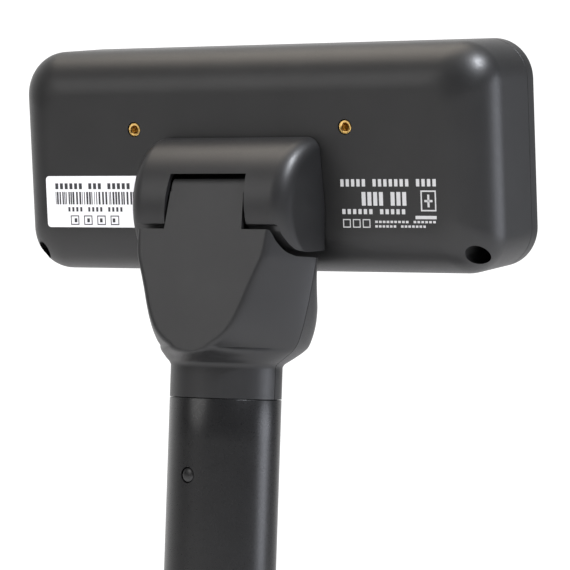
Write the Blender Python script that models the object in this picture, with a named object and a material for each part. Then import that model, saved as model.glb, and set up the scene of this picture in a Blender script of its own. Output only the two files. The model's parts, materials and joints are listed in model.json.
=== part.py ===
"""Customer pole display: a tilting, swivelling display head on a tube pole with a weighted base.

Lengths below are in millimetres and become metres where a mesh is made. +Z is up, the screen
faces -Y, the pole's axis is the Z axis and the origin is on the floor under it.
Head pieces are drawn in the head's frame: x along the head, y from the rear face (0) towards
the rear, z up from the rear face's centre. That frame hangs on the tilt pivot. Neck pieces hang
on the swivel pivot, and their z is counted from the joint between collar and tube.
"""

import bmesh
import bpy
import numpy as np
from math import cos, pi, radians, sin
from mathutils import Matrix, Vector

MM = 0.001
GAP = 0.3

# Pole and base
COLLAR_Z = 262.0
POLE_R, POLE_WALL = 22.6, 1.6
POLE_BOTTOM = 15.8
BASE_X, BASE_Y, BASE_HEIGHT = 200.0, 130.0, 24.0
BASE_CORNER, BASE_FILLET, BASE_WALL = 24.0, 7.0, 2.6
BOSS_R, BOSS_TOP = 28.0, 36.0
FOOT_R, FOOT_HEIGHT = 9.0, 3.0
FEET = [(sx * 78.0, sy * 44.0) for sx in (-1, 1) for sy in (-1, 1)]
OUTLET_Z, OUTLET_R = 10.4, 3.4
SOCKET_SCREW_R = 25.4

# Snap button that locks the tube to its plug
BUTTON_TURN = 9.0
BUTTON_Z = 231.2
BUTTON_R, BUTTON_HOLE_R = 2.9, 3.25

# Head
HEAD_X, HEAD_Z, HEAD_DEPTH = 220.0, 92.3, 49.6
HEAD_CORNER, HEAD_FILLET, HEAD_WALL = 16.5, 19.5, 2.4
COVER_DEPTH = 42.4
REST_TILT = 8.44
HINGE_Y, HINGE_Z = -5.6, 339.8
HEAD_BACK, HEAD_RISE = -1.0, 18.0
INSERT_X, INSERT_Z = 49.3, 13.7
CASE_SCREW_X, CASE_SCREW_Z = 101.8, 37.6
BOARD_SCREW_X, BOARD_SCREW_Z = 78.0, 20.0
HOOD_SCREWS = [(sx * 34.0, z) for sx in (-1, 1) for z in (1.0, -31.8)]
LOWER_SCREW_SEAT = 2.0

# Hinge hood, a roll about the tilt axis
HOOD_R, HOOD_WALL = 28.0, 2.2
HOOD_SIDE, HOOD_DRAFT = 39.3, 0.12
NOTCH_TOP_Z, NOTCH_TOP_X, NOTCH_BOTTOM_X = 15.1, 17.4, 18.9

# Neck
NECK_WALL = 2.4
FRONT_POWER, CHEEK_POWER = 2.5, 1.2
NECK_SPLIT = 0.15
SHOULDER_Z, SHOULDER_Y, REAR_SLOPE = 67.3, 22.9, 0.16
TONGUE_TOP_X, TONGUE_BOTTOM_X = 16.4, 17.8


def clear_scene():
    for obj in list(bpy.data.objects):
        bpy.data.objects.remove(obj, do_unlink=True)
    for block in list(bpy.data.collections):
        bpy.data.collections.remove(block)


def collection(name, helper=False):
    made = bpy.data.collections.new(name)
    made.hide_render = helper
    bpy.context.scene.collection.children.link(made)
    return made


def material(name, colour, roughness, metallic=0.0):
    made = bpy.data.materials.new(name)
    made.use_nodes = True
    shader = made.node_tree.nodes["Principled BSDF"]
    shader.inputs["Base Color"].default_value = (*colour, 1.0)
    shader.inputs["Roughness"].default_value = roughness
    shader.inputs["Metallic"].default_value = metallic
    made.diffuse_color = (*colour, 1.0)
    return made


def pivot(name, place, turn_x=0.0, parent=None):
    empty = bpy.data.objects.new(name, None)
    PARTS.objects.link(empty)
    empty.empty_display_size = 0.02
    empty.parent = parent
    empty.location = Vector(place) * MM
    empty.rotation_euler = (radians(turn_x), 0.0, 0.0)
    return empty


# --- Mesh makers. Each returns an object in the collection for helpers. ---


def finish_mesh(name, bm, parent):
    bmesh.ops.recalc_face_normals(bm, faces=bm.faces)
    mesh = bpy.data.meshes.new(name)
    bm.to_mesh(mesh)
    bm.free()
    mesh.transform(Matrix.Scale(MM, 4))
    mesh.shade_smooth()
    mesh.set_sharp_from_angle(angle=radians(35.0))
    obj = bpy.data.objects.new(name, mesh)
    obj.display_type = "WIRE"
    obj.hide_render = True
    obj.parent = parent
    CUTTERS.objects.link(obj)
    return obj


def loft(name, rings, parent=None):
    """A solid through rings of equal point count, capped at both ends."""
    bm = bmesh.new()
    rows = [[bm.verts.new(point) for point in ring] for ring in rings]
    count = len(rows[0])
    for low, high in zip(rows, rows[1:]):
        for i in range(count):
            j = (i + 1) % count
            bm.faces.new((low[i], low[j], high[j], high[i]))
    bm.faces.new(rows[0][::-1])
    bm.faces.new(rows[-1])
    return finish_mesh(name, bm, parent)


def prism(name, outline, axis, low, high, parent=None):
    """An outline of two coordinates, extruded along the third axis (0, 1 or 2)."""
    rings = [[insert(point, axis, level) for point in outline] for level in (low, high)]
    return loft(name, rings, parent)


def insert(point, axis, level):
    full = list(point)
    full.insert(axis, level)
    return tuple(full)


def turned(name, profile, axis, place=(0.0, 0.0, 0.0), parent=None, steps=32):
    """A closed profile of (radius, height) turned about a line along an axis through a place.
    Points of zero radius at both ends close the solid on the axis."""
    bm = bmesh.new()
    angles = np.arange(steps) * 2 * pi / steps
    solid = profile[0][0] == 0
    rows = []
    for radius, height in profile:
        if radius == 0:
            rows.append([bm.verts.new(place_round(0.0, 0.0, height, axis, place))])
            continue
        rows.append(
            [
                bm.verts.new(place_round(radius * cos(a), radius * sin(a), height, axis, place))
                for a in angles
            ]
        )
    pairs = list(zip(rows, rows[1:]))
    if not solid:
        pairs.append((rows[-1], rows[0]))
    for low, high in pairs:
        for i in range(steps):
            j = (i + 1) % steps
            if len(low) == 1:
                bm.faces.new((low[0], high[j], high[i]))
            elif len(high) == 1:
                bm.faces.new((low[i], low[j], high[0]))
            else:
                bm.faces.new((low[i], low[j], high[j], high[i]))
    return finish_mesh(name, bm, parent)


def place_round(across, over, along, axis, place):
    """Local (across, over, along) to x, y, z with along on the given axis."""
    local = {0: (along, across, over), 1: (over, along, across), 2: (across, over, along)}[axis]
    return tuple(a + b for a, b in zip(local, place))


def rod(name, radius, low, high, axis, place=(0.0, 0.0, 0.0), parent=None, steps=24):
    return turned(
        name, [(0, low), (radius, low), (radius, high), (0, high)], axis, place, parent, steps
    )


def washer(name, bore, radius, low, high, axis, place=(0.0, 0.0, 0.0), parent=None, steps=32):
    profile = [(bore, low), (radius, low), (radius, high), (bore, high)]
    return turned(name, profile, axis, place, parent, steps)


def screw(name, head_r, head_h, shank_r, length, axis, way, place, parent=None):
    """A pan-head screw. Its head's underside is at place, and its shank runs the given way."""
    profile = [
        (0, -head_h * way),
        (0.7 * head_r, -head_h * way),
        (head_r, -0.5 * head_h * way),
        (head_r, 0),
        (shank_r, 0),
        (shank_r, length * way),
        (0, length * way),
    ]
    return turned(name, profile, axis, place, parent, 10)


def box(name, low, high, parent=None):
    outline = [(low[0], low[1]), (high[0], low[1]), (high[0], high[1]), (low[0], high[1])]
    return prism(name, outline, 2, low[2], high[2], parent)


def rounded_rect(half_x, half_y, corner, per_corner=5):
    points = []
    for quarter in range(4):
        centre_x = (half_x - corner) * (1 if quarter in (0, 3) else -1)
        centre_y = (half_y - corner) * (1 if quarter in (0, 1) else -1)
        for k in range(per_corner + 1):
            angle = (quarter + k / per_corner) * pi / 2
            points.append((centre_x + corner * cos(angle), centre_y + corner * sin(angle)))
    return points


# --- Booleans ---


def combine(target, operation, others):
    for other in others:
        step = target.modifiers.new(operation.title() + " " + other.name, "BOOLEAN")
        step.operation = operation
        step.object = other
        step.solver = "EXACT"
    return target


def cut(target, *others):
    return combine(target, "DIFFERENCE", others)


def join(target, *others):
    return combine(target, "UNION", others)


def part(obj, finish):
    """Turns a helper into one of the object's own pieces."""
    CUTTERS.objects.unlink(obj)
    PARTS.objects.link(obj)
    obj.hide_render = False
    obj.display_type = "TEXTURED"
    obj.data.materials.append(finish)
    return obj


# --- Base and pole ---


def base_rings(inset, bottom, height):
    """Rounded-rectangle rings from the bottom edge up round the top fillet."""
    fillet = BASE_FILLET - inset
    rings = []
    levels = [(0.0, bottom)]
    for k in range(5):
        angle = k * pi / 8
        levels.append((fillet * (1 - cos(angle)), height - fillet + fillet * sin(angle)))
    for step_in, z in levels:
        outline = rounded_rect(
            BASE_X / 2 - inset - step_in, BASE_Y / 2 - inset - step_in, BASE_CORNER - inset - step_in
        )
        rings.append([(x, y, z) for x, y in outline])
    return rings


def make_base():
    rim = FOOT_HEIGHT + 0.2
    cover = loft("base_cover", base_rings(0.0, rim, BASE_HEIGHT))
    cavity = loft("base_cavity", base_rings(BASE_WALL, rim - 5.0, BASE_HEIGHT - BASE_WALL))
    posts = []
    for x, y in FEET:
        posts.append(rod("base_post", 4.0, 6.6, BASE_HEIGHT, 2, (x, y, 0.0), steps=12))
    cut(cavity, *posts)
    boss_profile = [
        (0, BASE_HEIGHT - 1.5),
        (BOSS_R + 4.0, BASE_HEIGHT - 1.5),
        (BOSS_R + 1.0, BASE_HEIGHT + 1.6),
        (BOSS_R, BASE_HEIGHT + 5.0),
        (BOSS_R - 1.0, BOSS_TOP - 1.2),
        (BOSS_R - 2.2, BOSS_TOP),
        (0, BOSS_TOP),
    ]
    boss = turned("base_boss", boss_profile, 2, steps=32)
    pole_hole = rod("pole_hole", POLE_R + GAP, 0.0, BOSS_TOP + 5.0, 2, steps=32)
    outlet = rod("outlet_hole", 5.6, 40.0, 80.0, 1, (0.0, 0.0, OUTLET_Z))
    holes = [
        rod("base_screw_hole", 1.8, 5.0, 16.0, 2, (x, y, 0.0), steps=12) for x, y in FEET
    ]
    join(cover, boss)
    cut(cover, cavity, pole_hole, outlet, *holes)
    part(cover, ABS)

    plate = loft(
        "base_bottom_plate",
        [[(x, y, z) for x, y in rounded_rect(96.5, 60.3, 20.0)] for z in (rim, rim + 1.6)],
    )
    weight = loft(
        "base_weight",
        [[(x, y, z) for x, y in rounded_rect(70.0, 50.0, 12.0)] for z in (rim + 2.0, rim + 8.0)],
    )
    socket_holes = []
    head_holes = []
    for k in range(3):
        angle = k * 2 * pi / 3 + pi / 2
        x, y = SOCKET_SCREW_R * cos(angle), SOCKET_SCREW_R * sin(angle)
        socket_holes.append(rod("socket_screw_hole", 2.1, 0.0, 14.4, 2, (x, y, 0.0), steps=12))
        head_holes.append(rod("socket_head_hole", 3.9, 0.0, rim + 1.7, 2, (x, y, 0.0), steps=16))
        part(screw(f"socket_screw_{k + 1}", 3.4, 1.7, 1.8, 9.0, 2, 1, (x, y, rim + 1.9)), STEEL)
    bore = rod("base_bore", 9.0, 0.0, 20.0, 2, steps=24)
    plate_holes = [
        rod("plate_screw_hole", 1.9, 0.0, 8.0, 2, (x, y, 0.0), steps=12) for x, y in FEET
    ]
    cut(plate, *plate_holes, *head_holes)
    part(plate, STEEL)
    cut(weight, bore, *socket_holes)
    part(weight, STEEL)

    socket = turned(
        "pole_socket",
        [
            (9.0, 11.6),
            (30.0, 11.6),
            (30.0, 15.4),
            (20.6, 15.4),
            (20.6, 60.0),
            (18.6, 62.0),
            (9.0, 62.0),
        ],
        2,
        steps=28,
    )
    lock_hole = rod("lock_hole", 2.1, -30.0, -10.0, 1, (0.0, 0.0, 48.0), steps=12)
    cut(socket, lock_hole, *socket_holes)
    part(socket, PLASTIC)

    for k, (x, y) in enumerate(FEET):
        profile = [(2.6, 0.0), (FOOT_R - 0.6, 0.0), (FOOT_R, 0.8), (FOOT_R, 2.9)]
        profile += [(4.2, 2.9), (4.2, 2.0), (2.6, 2.0)]
        part(turned(f"rubber_foot_{k + 1}", profile, 2, (x, y, 0.0), steps=16), RUBBER)
        part(screw(f"base_screw_{k + 1}", 3.2, 0.6, 1.5, 9.0, 2, 1, (x, y, rim - 0.3)), STEEL)

    grommet_profile = [
        (OUTLET_R, 60.9),
        (7.0, 60.9),
        (7.0, 62.1),
        (5.3, 62.1),
        (5.3, 64.9),
        (OUTLET_R, 64.9),
    ]
    grommet = turned("cable_grommet", grommet_profile, 1, (0.0, 0.0, OUTLET_Z), steps=16)
    part(grommet, RUBBER)


def button_frame():
    """Turns the +Y direction to the snap button's, at its height."""
    empty = pivot("snap_button_pivot", (0.0, 0.0, BUTTON_Z))
    empty.rotation_euler = (0.0, 0.0, radians(-BUTTON_TURN))
    return empty


def make_pole():
    top = COLLAR_Z - 0.4
    inner = POLE_R - POLE_WALL
    frame = button_frame()
    tube = washer("pole_tube", inner, POLE_R, POLE_BOTTOM, top, 2, steps=40)
    button_hole = rod("button_hole", BUTTON_HOLE_R, 12.0, 30.0, 1, parent=frame, steps=16)
    lock_hole = rod("tube_lock_hole", 2.3, -30.0, -10.0, 1, (0.0, 0.0, 48.0), steps=12)
    cut(tube, button_hole, lock_hole)
    part(tube, PAINT)
    lock = screw("pole_lock_screw", 3.6, 1.8, 1.8, 8.0, 1, 1, (0.0, -POLE_R - 0.2, 48.0))
    part(lock, STEEL)

    plug_profile = [
        (7.0, 212.0),
        (18.4, 212.0),
        (20.6, 214.5),
        (20.6, top - 1.0),
        (POLE_R - POLE_WALL - GAP, top - 1.0),
        (POLE_R - POLE_WALL - GAP, top),
        (13.2, top),
        (13.2, COLLAR_Z + 4.8),
        (9.8, COLLAR_Z + 4.8),
        (9.8, COLLAR_Z + 12.4),
        (7.0, COLLAR_Z + 12.4),
    ]
    plug = turned("pole_plug", plug_profile, 2, steps=28)
    pocket = rod("button_pocket", 4.7, 10.0, 30.0, 1, parent=frame, steps=16)
    cut(plug, pocket)
    part(plug, PLASTIC)

    button_profile = [
        (0, 14.2),
        (1.6, 14.2),
        (1.6, 18.7),
        (4.3, 18.7),
        (4.3, 20.2),
        (BUTTON_R, 20.2),
        (BUTTON_R, 21.9),
        (0.75 * BUTTON_R, 22.5),
        (0, 22.8),
    ]
    part(turned("snap_button", button_profile, 1, parent=frame, steps=16), PAINT)
    part(coil("snap_spring", 3.3, 0.35, 10.7, 13.0, 3, frame), STEEL)

    ring = washer("swivel_ring", 13.6, 19.4, top + GAP, COLLAR_Z + 1.7, 2, steps=24)
    part(ring, PLASTIC)
    slide = washer("swivel_washer", 10.2, 17.6, COLLAR_Z + 5.1, COLLAR_Z + 6.3, 2, steps=24)
    part(slide, STEEL)
    nut_rings = [
        [(15.0 * cos(k * pi / 3), 15.0 * sin(k * pi / 3), COLLAR_Z + z) for k in range(6)]
        for z in (6.6, 11.4)
    ]
    nut = loft("swivel_nut", nut_rings)
    cut(nut, rod("swivel_nut_bore", 10.2, COLLAR_Z + 5.0, COLLAR_Z + 14.0, 2, steps=24))
    part(nut, STEEL)


def coil(name, radius, wire, low, high, turns, parent):
    """A round wire wound about the y axis from low to high."""
    curve = bpy.data.curves.new(name, "CURVE")
    curve.dimensions = "3D"
    curve.bevel_depth = wire * MM
    curve.bevel_resolution = 1
    curve.use_fill_caps = True
    line = curve.splines.new("POLY")
    steps = turns * 8
    line.points.add(steps)
    for k in range(steps + 1):
        angle = 2 * pi * turns * k / steps
        y = low + (high - low) * k / steps
        line.points[k].co = (radius * cos(angle) * MM, y * MM, radius * sin(angle) * MM, 1.0)
    obj = bpy.data.objects.new(name, curve)
    obj.parent = parent
    CUTTERS.objects.link(obj)
    return obj


# --- Neck: z is counted from the joint between collar and tube ---


def neck_half_widths(z):
    """Half width, front depth and rear depth of the neck at a height."""
    heights = [0.0, 13.0, 14.2, 17.0, 20.6, 26.0, 31.0, 37.0, 44.0, 50.0, 56.8, 90.0]
    widths = [22.6, 22.6, 23.2, 27.0, 31.5, 33.6, 35.0, 36.3, 37.6, 38.7, 39.6, 40.0]
    fronts = [22.6, 22.6, 23.2, 26.0, 28.8, 29.8, 29.6, 27.0, 20.0, 13.0, 7.0, 7.0]
    rears = [22.6, 22.6, 23.2, 28.6, 37.4, 44.3, 47.9, 50.5, 51.9, 54.2, 57.6, 57.6]
    return [float(np.interp(z, heights, values)) for values in (widths, fronts, rears)]


def neck_powers(z):
    """The outline's superellipse powers ahead and behind: a circle at the collar, and above it
    fuller ahead and almost straight cheeks behind."""
    ahead = float(np.interp(z, [14.0, 21.0], [2.0, FRONT_POWER]))
    behind = float(np.interp(z, [14.2, 17.0, 20.6], [2.0, 1.6, CHEEK_POWER]))
    return ahead, behind


def neck_ring(z, inset, points=32):
    half, front, rear = (value - inset for value in neck_half_widths(z))
    ahead, behind = neck_powers(z)
    ring = []
    for k in range(points):
        angle = 2 * pi * k / points
        c, s = cos(angle), sin(angle)
        power = behind if s > 0 else ahead
        x = half * np.sign(c) * abs(c) ** (2 / power)
        y = (rear if s > 0 else front) * np.sign(s) * abs(s) ** (2 / power)
        ring.append((float(x), float(y), z))
    return ring


def rear_plane(name, inset, parent):
    """Cuts off everything behind the neck's slanted rear face."""
    low_z, high_z = -5.0, 95.0
    low_y = SHOULDER_Y + REAR_SLOPE * (SHOULDER_Z - low_z) - inset
    high_y = SHOULDER_Y + REAR_SLOPE * (SHOULDER_Z - high_z) - inset
    outline = [(low_y, low_z), (60.0, low_z), (60.0, high_z), (high_y, high_z)]
    return prism(name, outline, 0, -60.0, 60.0, parent)


def tongue_sides(parent):
    """Cutters that leave the tongue standing between them, above the shoulder and S line."""
    outline = [
        (-45.0, 57.1),
        (10.3, 57.2),
        (15.1, 58.8),
        (19.0, 62.1),
        (21.5, 65.6),
        (22.4, 66.8),
        (23.5, SHOULDER_Z),
        (45.0, SHOULDER_Z),
        (45.0, 95.0),
        (-45.0, 95.0),
    ]
    cutters = []
    for side in (-1, 1):
        rings = []
        for top_x, bottom_x in ((TONGUE_TOP_X, TONGUE_BOTTOM_X), (50.0, 50.0)):
            ring = []
            for y, z in outline:
                share = (z - SHOULDER_Z) / 20.5
                x = bottom_x + (top_x - bottom_x) * min(share, 1.3)
                ring.append((side * x, y, z))
            rings.append(ring)
        cutters.append(loft("tongue_side", rings, parent))
    return cutters


def tongue_top(parent):
    """Cuts the inside and the rolled top of the tongue, and opens the neck's top in front of it."""
    outline = [
        (-50.0, 57.1),
        (10.3, 57.2),
        (15.1, 58.8),
        (17.4, 61.0),
        (16.9, 85.6),
        (17.6, 87.3),
        (18.8, 86.9),
        (19.6, 85.2),
        (20.2, 82.0),
        (30.0, 82.0),
        (50.0, 96.0),
        (-50.0, 96.0),
    ]
    return prism("tongue_top", outline, 0, -55.0, 55.0, parent)


def make_neck(swivel):
    levels = [0.3, 6.0, 13.0, 14.2, 17.0, 20.6, 26.0, 31.0, 37.0, 44.0, 50.0, 56.8, 90.0]
    shelf = box("shelf", (-45.0, NECK_SPLIT, 37.5), (45.0, 22.0, 40.7), swivel)
    floor_ring = box("collar_flange", (-25.0, -25.0, 2.0), (25.0, 25.0, 4.6), swivel)
    boss_rods = [
        rod("shell_boss", 3.9, -60.0, 60.0, 1, (side * 17.0, 0.0, 27.0), swivel, 16)
        for side in (-1, 1)
    ]
    shells = {}
    for name in ("neck_rear_shell", "neck_front_shell"):
        outer = loft(name, [neck_ring(z, 0.0) for z in levels], swivel)
        inner_levels = [-3.0, *levels[1:-1], 92.0]
        cavity = loft(name + "_cavity", [neck_ring(z, NECK_WALL) for z in inner_levels], swivel)
        cut(cavity, rear_plane(name + "_inner_plane", NECK_WALL, swivel))
        cut(cavity, floor_ring, *boss_rods)
        if name == "neck_rear_shell":
            cut(cavity, shelf)
        spigot_hole = rod(name + "_spigot_hole", 13.6, -5.0, 10.0, 2, parent=swivel, steps=24)
        cut(outer, rear_plane(name + "_plane", 0.0, swivel), cavity, spigot_hole)
        cut(outer, tongue_top(swivel), *tongue_sides(swivel))
        shells[name] = outer
    front_half = box("front_half", (-60.0, -60.0, -10.0), (60.0, NECK_SPLIT, 100.0), swivel)
    rear_half = box("rear_half", (-60.0, -NECK_SPLIT, -10.0), (60.0, 60.0, 100.0), swivel)
    rear, front = shells["neck_rear_shell"], shells["neck_front_shell"]
    cut(rear, front_half)
    cut(front, rear_half)
    for k, side in enumerate((-1, 1)):
        spot = (side * 17.0, 0.0, 27.0)
        cut(rear, rod("rear_boss_hole", 1.7, -1.0, 12.0, 1, spot, swivel, 12))
        cut(front, rod("front_boss_hole", 1.8, -20.0, 1.0, 1, spot, swivel, 12))
        cut(front, rod("front_counterbore", 3.5, -60.0, -14.0, 1, spot, swivel, 16))
        place = (spot[0], -13.7 - GAP, spot[2])
        head = screw(f"neck_screw_{k + 1}", 2.9, 2.0, 1.4, 22.0, 1, 1, place, swivel)
        part(head, STEEL)
    bracket_spots = [(side * 7.0, 14.0, 0.0) for side in (-1, 1)]
    for spot in bracket_spots:
        cut(rear, rod("shelf_screw_hole", 1.8, 30.0, 45.0, 2, spot, swivel, 12))
    part(rear, ABS)
    part(front, ABS)
    make_bracket(swivel, bracket_spots)


def make_bracket(swivel, screw_spots):
    """The steel U bracket that carries the tilt shaft, with its screws and friction washers."""
    axis_z = HINGE_Z - COLLAR_Z
    base_z = 41.0
    ear = [(-12.0, base_z), (9.0, base_z), (9.0, 52.0), (6.0, 66.0), (HINGE_Y + 7.0, axis_z)]
    for k in range(1, 7):
        angle = k * pi / 7
        ear.append((HINGE_Y + 7.0 * cos(angle), axis_z + 7.0 * sin(angle)))
    ear += [(HINGE_Y - 7.0, axis_z), (HINGE_Y - 3.6, axis_z - 6.0), (-1.4, axis_z - 11.0), (-1.4, 50.0)]
    bracket = box("tilt_bracket", (-15.0, -12.0, base_z), (15.0, 18.5, base_z + 2.0), swivel)
    for low in (-15.0, 13.0):
        join(bracket, prism("bracket_ear", ear, 0, low, low + 2.0, swivel))
    shaft_hole = rod("ear_hole", 3.1, -20.0, 20.0, 0, (0.0, HINGE_Y, axis_z), swivel)
    cable_hole = rod("bracket_cable_hole", 5.0, 30.0, 50.0, 2, (0.0, 0.0, 0.0), swivel, 20)
    cut(bracket, shaft_hole, cable_hole)
    for k, spot in enumerate(screw_spots):
        cut(bracket, rod("bracket_screw_hole", 1.9, 30.0, 50.0, 2, spot, swivel, 12))
        place = (spot[0], spot[1], base_z + 2.0 + GAP)
        head = screw(f"bracket_screw_{k + 1}", 2.8, 1.9, 1.4, 8.0, 2, -1, place, swivel)
        part(head, STEEL)
    part(bracket, STEEL)
    for name, low in (("friction_washer_left", -16.1), ("friction_washer_right", 15.3)):
        ring = washer(name, 3.2, 6.6, low, low + 0.8, 0, (0.0, HINGE_Y, axis_z), swivel, 24)
        part(ring, BRASS)


# --- Head ---


def head_rings(inset, rim):
    """Rings of the rear cover from its rim to the flat rear face. The rear edge is a round."""
    fillet = HEAD_FILLET - inset
    levels = [(inset, rim), (inset, -HEAD_FILLET)]
    for k in range(1, 7):
        angle = k * pi / 12
        levels.append((HEAD_FILLET - fillet * cos(angle), -HEAD_FILLET + fillet * sin(angle)))
    rings = []
    for step_in, y in levels:
        corner = HEAD_CORNER - inset - 0.45 * (step_in - inset)
        outline = rounded_rect(HEAD_X / 2 - step_in, HEAD_Z / 2 - step_in, corner)
        rings.append([(x, y, z) for x, z in outline])
    return rings


def make_rear_cover(head):
    cover = loft("rear_cover", head_rings(0.0, -COVER_DEPTH), head)
    cavity = loft("cover_cavity", head_rings(HEAD_WALL, -COVER_DEPTH - 5.0), head)
    inserts = [(side * INSERT_X, 0.0, INSERT_Z) for side in (-1, 1)]
    corners = [(side * CASE_SCREW_X, 0.0, -CASE_SCREW_Z) for side in (-1, 1)]
    posts = [
        (sx * BOARD_SCREW_X, 0.0, sz * BOARD_SCREW_Z) for sx in (-1, 1) for sz in (-1, 1)
    ]
    cut(cavity, *[rod("insert_boss", 4.8, -9.5, 0.0, 1, spot, head, 16) for spot in inserts])
    cut(cavity, *[rod("corner_boss", 5.4, -COVER_DEPTH, 0.0, 1, spot, head, 16) for spot in corners])
    cut(cavity, *[rod("board_post", 3.2, -28.0, 0.0, 1, spot, head, 12) for spot in posts])
    cut(cover, cavity)
    cut(cover, *[rod("insert_hole", 3.1, -8.0, 2.0, 1, spot, head, 16) for spot in inserts])
    cut(cover, *[rod("corner_bore", 3.9, -28.0, 2.0, 1, spot, head, 16) for spot in corners])
    cut(cover, *[rod("corner_screw_hole", 1.9, -50.0, -20.0, 1, spot, head, 12) for spot in corners])
    cut(cover, *[rod("post_hole", 1.6, -50.0, -18.0, 1, spot, head, 12) for spot in posts])
    for x, z in HOOD_SCREWS:
        cut(cover, rod("hood_screw_hole", 1.7, -5.0, 5.0, 1, (x, 0.0, z), head, 12))
    hinge_low, hinge_high = -HEAD_RISE - 11.5, -HEAD_RISE + 9.5
    cut(cover, box("hinge_opening", (-30.5, -6.0, hinge_low), (30.5, 5.0, hinge_high), head))
    part(cover, ABS)

    for k, (x, _, z) in enumerate(inserts):
        profile = [(1.5, -7.2), (2.6, -7.2), (2.8, -6.6), (2.8, -0.5)]
        profile += [(2.5, -0.15), (1.8, -0.15), (1.5, -0.5)]
        part(turned(f"thread_insert_{k + 1}", profile, 1, (x, 0.0, z), head, 16), BRASS)
    for k, (x, _, z) in enumerate(corners):
        place = (x, -27.7, z)
        part(screw(f"case_screw_{k + 1}", 3.4, 2.0, 1.5, 16.0, 1, -1, place, head), STEEL)
    for k, (x, _, z) in enumerate(posts):
        place = (x, -30.2, z)
        part(screw(f"board_screw_{k + 1}", 2.8, 1.6, 1.3, 8.0, 1, 1, place, head), STEEL)
    for k, (x, z) in enumerate(HOOD_SCREWS):
        seat = HEAD_WALL + GAP + (0.0 if z > 0 else LOWER_SCREW_SEAT)
        place = (x, -seat, z)
        part(screw(f"hood_screw_{k + 1}", 2.9, 1.8, 1.4, 8.5, 1, 1, place, head), STEEL)
    label = box("rear_label", (41.0, 0.15, -27.0), (94.0, 0.35, -5.5), head)
    part(label, LABEL)


def make_front(head):
    seam = -COVER_DEPTH - GAP
    front = -HEAD_DEPTH
    rings = []
    for inset, y in ((0.0, seam), (0.0, front + 1.6), (0.5, front + 0.5), (1.6, front)):
        outline = rounded_rect(HEAD_X / 2 - inset, HEAD_Z / 2 - inset, HEAD_CORNER - inset)
        rings.append([(x, y, z) for x, z in outline])
    bezel = loft("front_bezel", rings, head)
    window_pocket = loft(
        "window_pocket",
        [[(x, y, z) for x, z in rounded_rect(100.3, 37.3, 8.3)] for y in (front - 2.0, front + 1.8)],
        head,
    )
    opening = loft(
        "bezel_opening",
        [[(x, y, z) for x, z in rounded_rect(96.0, 33.0, 5.0)] for y in (front - 2.0, seam + 5.0)],
        head,
    )
    recess = loft(
        "bezel_recess",
        [[(x, y, z) for x, z in rounded_rect(107.0, 43.1, 13.5)] for y in (front + 4.0, seam + 5.0)],
        head,
    )
    corners = [(side * CASE_SCREW_X, 0.0, -CASE_SCREW_Z) for side in (-1, 1)]
    for spot in corners:
        cut(recess, rod("bezel_post", 4.6, front + 3.0, seam + 6.0, 1, spot, head, 16))
    cut(bezel, window_pocket, opening, recess)
    for spot in corners:
        cut(bezel, rod("bezel_screw_hole", 1.8, front + 2.6, seam + 5.0, 1, spot, head, 12))
    part(bezel, ABS)

    def plate(name, half_x, half_z, corner, low, high, finish):
        rings = [[(x, y, z) for x, z in rounded_rect(half_x, half_z, corner)] for y in (low, high)]
        return part(loft(name, rings, head), finish)

    plate("display_window", 100.0, 37.0, 8.0, front + 0.1, front + 1.5, WINDOW)
    plate("lcd_glass", 92.0, 29.0, 1.0, -44.5, -42.7, GLASS)
    plate("backlight_panel", 92.0, 29.0, 1.0, -42.4, -39.0, PANEL)
    board = loft(
        "controller_board",
        [[(x, y, z) for x, z in rounded_rect(86.0, 26.0, 2.0)] for y in (-29.9, -28.3)],
        head,
    )
    posts = [
        (sx * BOARD_SCREW_X, 0.0, sz * BOARD_SCREW_Z) for sx in (-1, 1) for sz in (-1, 1)
    ]
    cut(board, *[rod("board_hole", 1.7, -40.0, -20.0, 1, spot, head, 12) for spot in posts])
    part(board, BOARD)
    part(box("controller_chip", (-8.0, -28.0, -8.0), (6.0, -26.2, 6.0), head), CHIP)
    part(box("cable_header", (18.0, -28.0, -14.0), (34.0, -21.0, -7.0), head), LABEL)
    frame = loft(
        "lcd_frame",
        [[(x, y, z) for x, z in rounded_rect(95.0, 32.0, 3.0)] for y in (-44.9, -31.6)],
        head,
    )
    pocket = loft(
        "lcd_frame_pocket",
        [[(x, y, z) for x, z in rounded_rect(92.4, 29.4, 1.4)] for y in (-44.0 - 8.0, -38.6)],
        head,
    )
    back_pocket = loft(
        "lcd_frame_back",
        [[(x, y, z) for x, z in rounded_rect(90.0, 27.0, 1.4)] for y in (-39.5, -25.0)],
        head,
    )
    cut(frame, pocket, back_pocket)
    part(frame, PLASTIC)


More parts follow.
